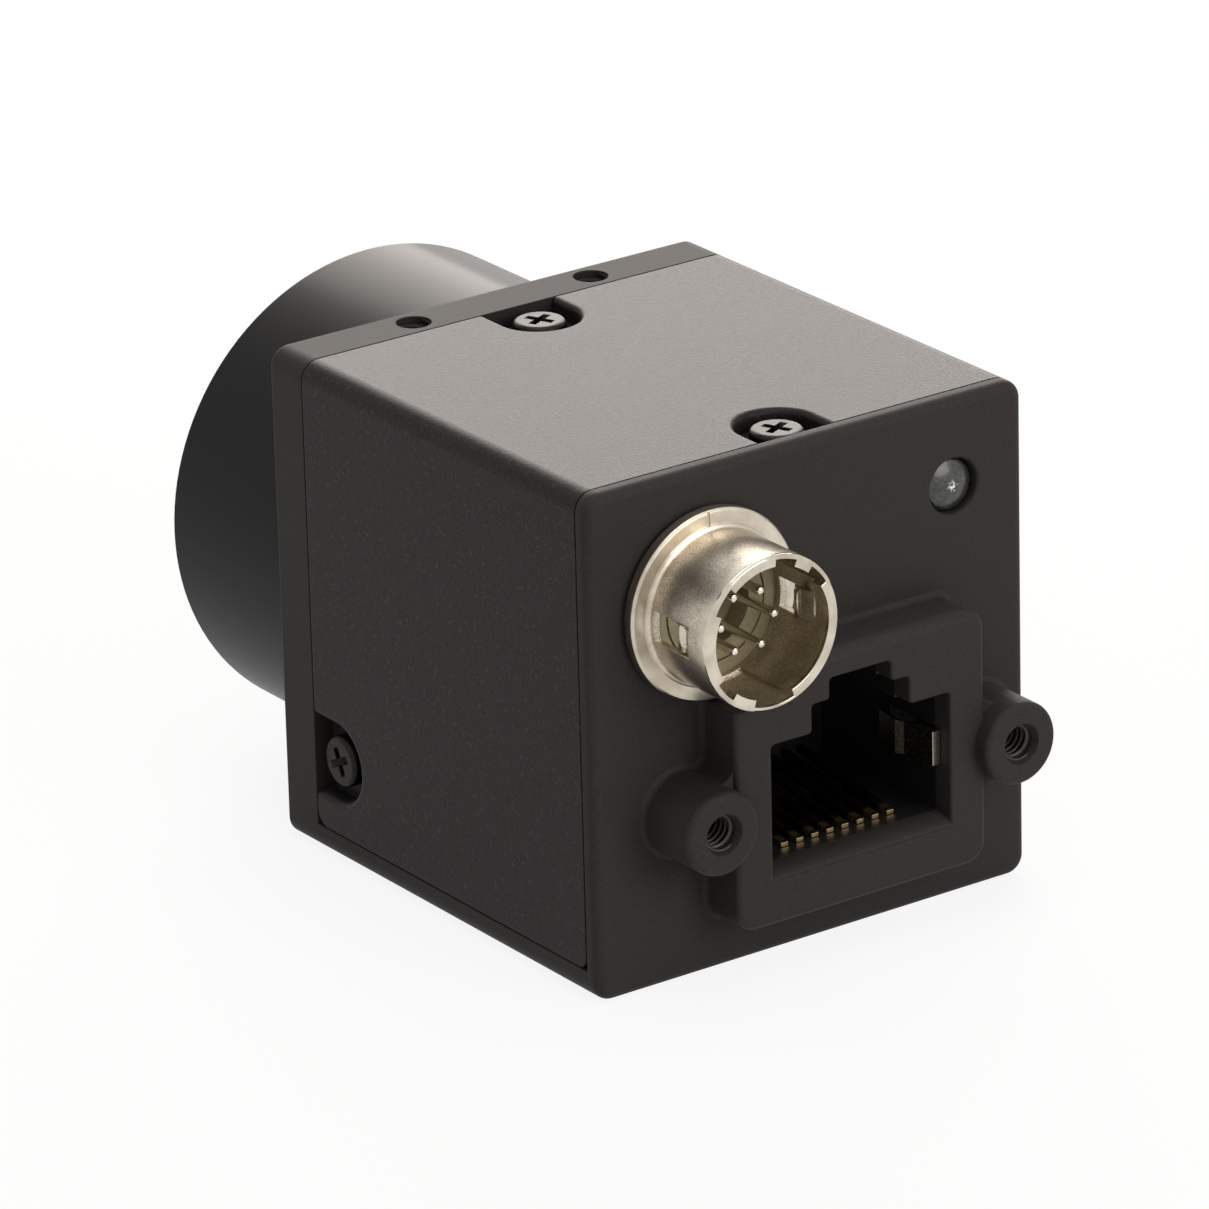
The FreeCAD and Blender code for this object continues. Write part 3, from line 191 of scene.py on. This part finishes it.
# Nickel-plated die-cast zinc shell: warm satin silver, speckled on the barrel, polished at the mouth rim.
shellLook = {"dark": "#bcb1a0", "light": "#d8cfc0", "cloud": 1.5, "cloudSpan": (0.35, 0.65),
             "speck": "#857c70", "speckSize": 0.085, "speckSpan": (0.38, 0.55), "speckShare": 0.75,
             "rough": 0.3, "rimRough": 0.08, "rimDepth": 0.3, "rimBlend": 0.1, "speckFade": 0.6,
             "barrelLength": 5.2, "flangeFade": 0.5, "strength": 0.35, "depth": 0.01, "edge": 0.1}


def platedShell(name, look):
    material, tree, bsdf = startMaterial(name)
    place = addNode(tree, "TexCoord", {}, "Object")
    along = addNode(tree, "SeparateXYZ", {"Vector": place}, "Y")
    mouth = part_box("io_shell")[1].y
    rimStart = mouth - look["rimDepth"] * mm
    flangeFront = mouth - look["barrelLength"] * mm
    cloud = addNode(tree, "TexNoise", {"Vector": place, "Scale": 1 / (look["cloud"] * mm), "Detail": 2.0})
    cloudLow, cloudHigh = look["cloudSpan"]
    share = addNode(tree, "MapRange", {"Value": cloud, "From Min": cloudLow, "From Max": cloudHigh})
    tone = addNode(tree, "Mix", {0: share, 6: look["dark"], 7: look["light"]}, 2, data_type="RGBA")
    grain = addNode(tree, "TexNoise", {"Vector": place, "Scale": 1 / (look["speckSize"] * mm), "Detail": 2.0,
                                       "Roughness": 0.6})
    # One on the barrel, nothing on the flange and the rim
    fadeStart = rimStart - look["speckFade"] * mm
    barrel = addNode(tree, "MapRange", {"Value": along, "From Min": fadeStart, "From Max": rimStart,
                                        "To Min": 1.0, "To Max": 0.0})
    hub = addNode(tree, "MapRange", {"Value": along, "From Min": flangeFront,
                                     "From Max": flangeFront + look["flangeFade"] * mm})
    barrel = addNode(tree, "Math", {0: barrel, 1: hub}, operation="MULTIPLY")
    speckLow, speckHigh = look["speckSpan"]
    speck = addNode(tree, "MapRange", {"Value": grain, "From Min": speckLow, "From Max": speckHigh,
                                       "To Min": look["speckShare"], "To Max": 0.0})
    speck = addNode(tree, "Math", {0: speck, 1: barrel}, operation="MULTIPLY")
    tone = addNode(tree, "Mix", {0: speck, 6: tone, 7: look["speck"]}, 2, data_type="RGBA")
    gloss = addNode(tree, "MapRange", {"Value": along, "From Min": rimStart,
                                       "From Max": rimStart + look["rimBlend"] * mm,
                                       "To Min": look["rough"], "To Max": look["rimRough"]})
    edge = addNode(tree, "Bevel", {"Radius": look["edge"] * mm}, samples=edgeSamples)
    height = addNode(tree, "Math", {0: grain, 1: barrel}, operation="MULTIPLY")
    relief = addNode(tree, "Bump", {"Height": height, "Normal": edge, "Strength": look["strength"],
                                    "Distance": look["depth"] * mm})
    plug(tree, bsdf, {"Base Color": tone, "Roughness": gloss, "Metallic": 1.0, "Normal": relief})
    return material


materials["nickel_shell"] = platedShell("nickel_shell", shellLook)


# Optical glass, polished: clear, with a faint tint in the infrared filter.
glassLooks = {
    "clear_glass": {"tint": "#eef4f2", "index": 1.2, "rough": 0.02, "wave": 3.0, "strength": 0.05,
                    "depth": 0.01},
    "filter_glass": {"tint": "#d3ecec", "index": 1.25, "rough": 0.02, "wave": 3.0, "strength": 0.05,
                     "depth": 0.01},
}


def polishedGlass(name, look):
    material, tree, bsdf = startMaterial(name)
    place = addNode(tree, "TexCoord", {}, "Object")
    wave = addNode(tree, "TexNoise", {"Vector": place, "Scale": 1 / (look["wave"] * mm), "Detail": 2.0})
    relief = addNode(tree, "Bump", {"Height": wave, "Strength": look["strength"],
                                    "Distance": look["depth"] * mm})
    plug(tree, bsdf, {"Base Color": look["tint"], "Roughness": look["rough"], "Transmission Weight": 1.0,
                      "IOR": look["index"], "Normal": relief})
    return material


for name, look in glassLooks.items():
    materials[name] = polishedGlass(name, look)


# Phosphor bronze contact wires: bright gold plate at the cut front ends. Further in they have a duller gloss,
# and their colour is darkened with painted shade for the shadow where they lie deep in the socket.
contactLook = {"paintedShade": "#241c10", "bright": "#dcc08a", "reach": 0.9, "tip": 0.2, "dullRough": 0.5,
               "brightRough": 0.25, "grain": 0.05, "strength": 0.1, "depth": 0.003, "edge": 0.04}


def contactWire(name, look):
    material, tree, bsdf = startMaterial(name)
    place = addNode(tree, "TexCoord", {}, "Object")
    along = addNode(tree, "SeparateXYZ", {"Vector": place}, "Y")
    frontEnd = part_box("jack_contacts")[1].y
    bright = addNode(tree, "MapRange", {"Value": along, "From Min": frontEnd - look["reach"] * mm,
                                        "From Max": frontEnd - look["tip"] * mm})
    # Painted shade: the colour darkens from the gold front ends inwards, where the wires lie in the socket's
    # shadow.
    tone = addNode(tree, "Mix", {0: bright, 6: look["paintedShade"], 7: look["bright"]}, 2, data_type="RGBA")
    gloss = addNode(tree, "MapRange", {"Value": bright, "To Min": look["dullRough"],
                                       "To Max": look["brightRough"]})
    grain = addNode(tree, "TexNoise", {"Vector": place, "Scale": 1 / (look["grain"] * mm), "Detail": 2.0})
    edge = addNode(tree, "Bevel", {"Radius": look["edge"] * mm}, samples=edgeSamples)
    relief = addNode(tree, "Bump", {"Height": grain, "Normal": edge, "Strength": look["strength"],
                                    "Distance": look["depth"] * mm})
    plug(tree, bsdf, {"Base Color": tone, "Roughness": gloss, "Metallic": 1.0, "Normal": relief})
    return material


materials["gold_contact"] = contactWire("gold_contact", contactLook)


# Smoky acrylic light pipe: a frosted dome. The pale sparks painted round its middle, over where the light
# source sits, are painted glints.
lightLook = {"dark": "#060706", "light": "#43443e", "paintedGlint": "#f3f1ea", "mottle": 0.17, "coreStart": 0.1,
             "core": 0.4, "sparkSpan": (0.5, 0.56), "rough": 0.3, "clear": 0.08, "index": 1.49, "coat": 0.3,
             "coatRough": 0.04, "strength": 0.4, "depth": 0.03}


def smokyAcrylic(name, look):
    material, tree, bsdf = startMaterial(name)
    low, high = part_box("light_pipe")
    centre = ((low.x + high.x) / 2, high.y, (low.z + high.z) / 2)
    place = addNode(tree, "TexCoord", {}, "Object")
    away = addNode(tree, "VectorMath", {0: place, 1: centre}, "Value", operation="DISTANCE")
    mottle = addNode(tree, "TexNoise", {"Vector": place, "Scale": 1 / (look["mottle"] * mm), "Detail": 3.0,
                                        "Roughness": 0.6})
    share = addNode(tree, "MapRange", {"Value": mottle, "From Min": noiseLow, "From Max": noiseHigh})
    tone = addNode(tree, "Mix", {0: share, 6: look["dark"], 7: look["light"]}, 2, data_type="RGBA")
    core = addNode(tree, "MapRange", {"Value": away, "From Min": look["coreStart"] * mm,
                                      "From Max": look["core"] * mm, "To Min": 1.0, "To Max": 0.0})
    # Painted glints: pale sparks are mixed into the colour near the middle of the dome.
    sparkLow, sparkHigh = look["sparkSpan"]
    sparks = addNode(tree, "MapRange", {"Value": mottle, "From Min": sparkLow, "From Max": sparkHigh})
    core = addNode(tree, "Math", {0: core, 1: sparks}, operation="MULTIPLY")
    tone = addNode(tree, "Mix", {0: core, 6: tone, 7: look["paintedGlint"]}, 2, data_type="RGBA")
    relief = addNode(tree, "Bump", {"Height": mottle, "Strength": look["strength"],
                                    "Distance": look["depth"] * mm})
    plug(tree, bsdf, {"Base Color": tone, "Roughness": look["rough"], "Transmission Weight": look["clear"],
                      "IOR": look["index"], "Coat Weight": look["coat"], "Coat Roughness": look["coatRough"],
                      "Normal": relief})
    return material


materials["clear_moulding"] = smokyAcrylic("clear_moulding", lightLook)


# Glass-epoxy board: green solder mask over copper tracks, with plated via dots.
boardLook = {"mask": "#0f3d24", "maskPale": "#124a2b", "track": "#1d6b3e", "trackGap": 2.4,
             "trackWidth": 0.012, "via": "#c9a95c", "viaGap": 1.6, "viaSpan": (0.07, 0.1), "rough": 0.3,
             "strength": 0.3, "depth": 0.02}


def solderMask(name, look):
    material, tree, bsdf = startMaterial(name)
    place = addNode(tree, "TexCoord", {}, "Object")
    bricks = {"Vector": place, "Scale": 1 / (look["trackGap"] * mm), "Mortar Size": look["trackWidth"],
              "Color1": look["mask"], "Color2": look["maskPale"], "Mortar": look["track"]}
    tracks = addNode(tree, "TexBrick", bricks, "Color")
    raised = addNode(tree, "TexBrick", bricks, "Fac")
    dots = addNode(tree, "TexVoronoi", {"Vector": place, "Scale": 1 / (look["viaGap"] * mm)}, "Distance")
    viaLow, viaHigh = look["viaSpan"]
    via = addNode(tree, "MapRange", {"Value": dots, "From Min": viaLow, "From Max": viaHigh, "To Min": 1.0,
                                     "To Max": 0.0})
    tone = addNode(tree, "Mix", {0: via, 6: tracks, 7: look["via"]}, 2, data_type="RGBA")
    relief = addNode(tree, "Bump", {"Height": raised, "Strength": look["strength"],
                                    "Distance": look["depth"] * mm})
    plug(tree, bsdf, {"Base Color": tone, "Metallic": via, "Roughness": look["rough"], "Normal": relief})
    return material


materials["circuit_board"] = solderMask("circuit_board", boardLook)


# Polished silicon of the sensor: a fine cell grid that splits the light into colours.
dieLook = {"cell": 0.02, "blue": "#3a4658", "violet": "#4b3a55", "metal": 0.7, "rough": 0.18, "coat": 0.6,
           "coatRough": 0.05}


def cellGrid(name, look):
    material, tree, bsdf = startMaterial(name)
    place = addNode(tree, "TexCoord", {}, "Object")
    cells = addNode(tree, "TexChecker", {"Vector": place, "Scale": 1 / (look["cell"] * mm),
                                         "Color1": look["blue"], "Color2": look["violet"]}, "Color")
    plug(tree, bsdf, {"Base Color": cells, "Metallic": look["metal"], "Roughness": look["rough"],
                      "Coat Weight": look["coat"], "Coat Roughness": look["coatRough"]})
    return material


materials["silicon_die"] = cellGrid("silicon_die", dieLook)

for part in frame["record"]["subparts"]:
    mesh = nodes[part["node"]].data
    mesh.materials.clear()
    mesh.materials.append(materials[part["material_slot"]])
print("materials on", len(nodes), "nodes")


# Added pieces
def meshFrom(bm, name):
    bmesh.ops.recalc_face_normals(bm, faces=bm.faces)
    mesh = bpy.data.meshes.new(name)
    bm.to_mesh(mesh)
    bm.free()
    return mesh


def addPiece(name, bm, finishName):
    # One added node: smooth shading, finish and body.
    obj = bpy.data.objects.new(name, meshFrom(bm, name))
    bpy.context.scene.collection.objects.link(obj)
    for polygon in obj.data.polygons:
        polygon.use_smooth = True
    obj.data.materials.append(materials[finishName])
    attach(obj, "root")


# Section of a thread's ridge: height and half widths as shares of the pitch, and the millimetres that
# it is sunk into the wall. Each end rises from the wall over a turn divided by endRate.
ridgeLook = {"height": 0.54, "rootHalf": 0.42, "crestHalf": 0.06, "sunk": 0.02, "endRate": 3}


def addThread(bm, mouth, inward, radius, look):
    # The ridge's section at the hole's wall, screwed round the axis and run out at both ends.
    pitch = look["pitch"] * mm
    height = pitch * ridgeLook["height"]
    root, crest = ridgeLook["rootHalf"], ridgeLook["crestHalf"]
    segments = look["segments"]
    wall = radius + ridgeLook["sunk"] * mm
    side = inward.orthogonal().normalized()
    start = mouth + inward * (look["start"] * mm + pitch / 2)
    corners = []
    for rise, shift in ((0.0, -root), (height, -crest), (height, crest), (0.0, root)):
        corners.append(bm.verts.new(start + inward * shift * pitch + side * (wall - rise)))
    first = len(bm.verts) - len(corners)
    loop = [bm.edges.new((corners[index - 1], corners[index])) for index in range(len(corners))]
    steps = int(look["length"] * mm / pitch * segments)
    bm.faces.new(corners)
    turned = bmesh.ops.spin(bm, geom=corners + loop, cent=mouth, axis=inward, dvec=inward * pitch / segments,
                            angle=2 * math.pi * steps / segments, steps=steps, use_merge=False)
    lastLoop = [item for item in turned["geom_last"] if isinstance(item, bmesh.types.BMEdge)]
    bmesh.ops.edgeloop_fill(bm, edges=lastLoop)
    bm.verts.ensure_lookup_table()
    rate = ridgeLook["endRate"]
    for index, vert in enumerate(bm.verts[first:]):
        turn = index // len(corners) / segments
        ease = min(1.0, turn * rate, (steps / segments - turn) * rate)
        out = vert.co - mouth
        out -= inward * out.dot(inward)
        vert.co += out.normalized() * (wall - out.length) * (1 - ease)


def holeMouths(mount):
    # Mouth of each hole of a mount: one, or two side by side along X.
    middle = Vector(mount["pos_m"])
    if "spacing_x_mm" not in mount["dims"]:
        return [middle]
    half = mount["dims"]["spacing_x_mm"] * mm / 2
    return [middle + Vector((side * half, 0, 0)) for side in (-1, 1)]


# Screw threads in millimetres; start is the smooth lead at the mouth.
threads = {
    "lensThread": {"mount": "lens_thread", "finish": "anodised_ring", "slot": "anodised_ring",
                   "pitch": 25.4 / 32, "segments": 96, "length": 4.6, "start": 0.0},
    "topThreads": {"mount": "top_holes", "finish": "coated_casting", "slot": "coated_casting", "pitch": 0.4,
                   "segments": 28, "length": 2.2, "start": 0.0},
    "bottomFrontThreads": {"mount": "bottom_front_holes", "finish": "coated_casting",
                           "slot": "coated_casting", "pitch": 0.4, "segments": 28, "length": 2.2,
                           "start": 0.0},
    "bottomThreads": {"mount": "bottom_holes", "finish": "coated_casting", "slot": "coated_casting",
                      "pitch": 0.5, "segments": 28, "length": 2.0, "start": 0.0},
    "lockThreads": {"mount": "socket_lock_holes", "finish": "tappedThread", "slot": "coated_casting",
                    "pitch": 0.4, "segments": 36, "length": 3.4, "start": 0.2},
}
for name, look in threads.items():
    mount = mounts[look["mount"]]
    holeRadius = mount["dims"].get("hole_r_mm", mount["dims"].get("r_mm")) * mm
    bm = bmesh.new()
    for mouth in holeMouths(mount):
        addThread(bm, mouth, -Vector(mount["axis"]), holeRadius, look)
    addPiece(name, bm, look["finish"])
print("threads made")

# Latch tabs of the round connector: the free end of each tab is curled, in millimetres and degrees.
latchLook = {"fromAxis": 3.8, "fromMouth": 2.55, "radius": 0.42, "width": 1.5, "wall": 0.12, "turn": 290,
             "segments": 24}


def addCurl(bm, side, look):
    # Edge of sheet spun into a curl that opens towards the mouth.
    low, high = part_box("io_shell")
    centre = Vector(((low.x + high.x) / 2 + side * look["fromAxis"] * mm, high.y - look["fromMouth"] * mm,
                     (low.z + high.z) / 2))
    start = centre + Vector((0, look["radius"] * mm, 0))
    half = Vector((0, 0, look["width"] * mm / 2))
    ends = [bm.verts.new(start - half), bm.verts.new(start + half)]
    rim = bm.edges.new(ends)
    bmesh.ops.spin(bm, geom=ends + [rim], cent=centre, axis=(0, 0, 1),
                   angle=-side * math.radians(look["turn"]), steps=look["segments"], use_merge=False)


bm = bmesh.new()
for side in (-1, 1):
    addCurl(bm, side, latchLook)
bmesh.ops.recalc_face_normals(bm, faces=bm.faces)
bmesh.ops.solidify(bm, geom=bm.faces[:], thickness=latchLook["wall"] * mm)
addPiece("latchCurls", bm, "nickel_sheet")
print("latch tabs made")


# Floor, light and camera
def seenRays(tree):
    # One where a ray comes from the camera or by way of metal or glass.
    total = addNode(tree, "LightPath", {}, "Is Camera Ray")
    for name in ("Is Glossy Ray", "Is Transmission Ray"):
        ray = addNode(tree, "LightPath", {}, name)
        total = addNode(tree, "Math", {0: total, 1: ray}, operation="MAXIMUM")
    return total


# The gap in millimetres keeps the floor clear of the base; glow is the share that shows as plain white.
floorLook = {"halfWidth": 3.0, "gap": 0.02, "paint": "#f2f2f2", "rough": 0.9, "glow": 0.88}


def stageFloor(look):
    # White floor: mostly glowing to the camera, the rest keeps the shadow.
    bm = bmesh.new()
    bmesh.ops.create_grid(bm, x_segments=1, y_segments=1, size=look["halfWidth"])
    bmesh.ops.translate(bm, verts=bm.verts, vec=(0, 0, cadLow.z - look["gap"] * mm))
    floor = bpy.data.objects.new("floor", meshFrom(bm, "floor"))
    bpy.context.scene.collection.objects.link(floor)
    material, tree, bsdf = startMaterial("paleFloor")
    plug(tree, bsdf, {"Base Color": look["paint"], "Roughness": look["rough"]})
    white = addNode(tree, "Emission", {"Color": "#ffffff", "Strength": 1.0})
    share = addNode(tree, "Math", {0: seenRays(tree), 1: look["glow"]}, operation="MULTIPLY")
    mixed = addNode(tree, "MixShader", {0: share, 1: bsdf.outputs["BSDF"], 2: white})
    plug(tree, tree.nodes["Material Output"], {"Surface": mixed})
    floor.data.materials.append(material)


worldLook = {"fill": "#f4f1ee", "strength": 0.35}  # the soft light from all round


def stageWorld(look):
    world = bpy.data.worlds.new("studio")
    bpy.context.scene.world = world
    world.use_nodes = True
    tree = world.node_tree
    white = addNode(tree, "Background", {"Color": "#ffffff", "Strength": 1.0})
    fill = addNode(tree, "Background", {"Color": look["fill"], "Strength": look["strength"]})
    mixed = addNode(tree, "MixShader", {0: seenRays(tree), 1: fill, 2: white})
    plug(tree, tree.nodes["World Output"], {"Surface": mixed})


# Softboxes: offset from the middle of the object's box and size in metres, power in watts.
softboxes = {
    "backSoftbox": {"offset": (-0.30, -0.43, 0.215), "size": (0.46, 0.30), "power": 2.8, "tint": "#fff7ef"},
    "topSoftbox": {"offset": (0.02, 0.04, 0.45), "size": (0.3, 0.3), "power": 0.9, "tint": "#fff9f4"},
    "rearSoftbox": {"offset": (-0.12, 0.5, 0.2), "size": (0.3, 0.3), "power": 1.2, "tint": "#fff9f4"},
}


def addSoftbox(name, look):
    lamp = bpy.data.lights.new(name, "AREA")
    lamp.shape = "RECTANGLE"
    lamp.size, lamp.size_y = look["size"]
    lamp.energy = look["power"]
    lamp.color = linear(look["tint"])[:3]
    offset = Vector(look["offset"])
    obj = bpy.data.objects.new(name, lamp)
    obj.location = (cadLow + cadHigh) / 2 + offset
    obj.rotation_euler = (-offset).to_track_quat("-Z", "Y").to_euler()
    bpy.context.scene.collection.objects.link(obj)


# Camera: the point it looks at, its distance and clip range in metres, and its angles in degrees.
view = {"target": Vector((2.97, 27.0, 1.10)) * mm, "azimuth": 145.016, "elevation": 21.653,
        "roll": -1.48, "distance": 0.4799, "angle": 7.9009, "nearest": 0.01, "farthest": 20}


def addCamera():
    around = math.radians(view["azimuth"])
    up = math.radians(view["elevation"])
    back = Vector((math.sin(around) * math.cos(up), -math.cos(around) * math.cos(up), math.sin(up)))
    right = Vector((0, 0, 1)).cross(back).normalized()
    rise = back.cross(right)
    roll = math.radians(view["roll"])
    turnedRight = right * math.cos(roll) + rise * math.sin(roll)
    turnedRise = rise * math.cos(roll) - right * math.sin(roll)
    camera = bpy.data.cameras.new("camera")
    camera.angle = math.radians(view["angle"])
    camera.clip_start = view["nearest"]
    camera.clip_end = view["farthest"]
    obj = bpy.data.objects.new("camera", camera)
    turn = Matrix((turnedRight, turnedRise, back)).transposed()
    obj.matrix_world = Matrix.Translation(view["target"] + back * view["distance"]) @ turn.to_4x4()
    bpy.context.scene.collection.objects.link(obj)
    bpy.context.scene.camera = obj


stageFloor(floorLook)
stageWorld(worldLook)
for name, look in softboxes.items():
    addSoftbox(name, look)
addCamera()
bpy.context.scene.view_settings.view_transform = "Standard"
print("stage made")
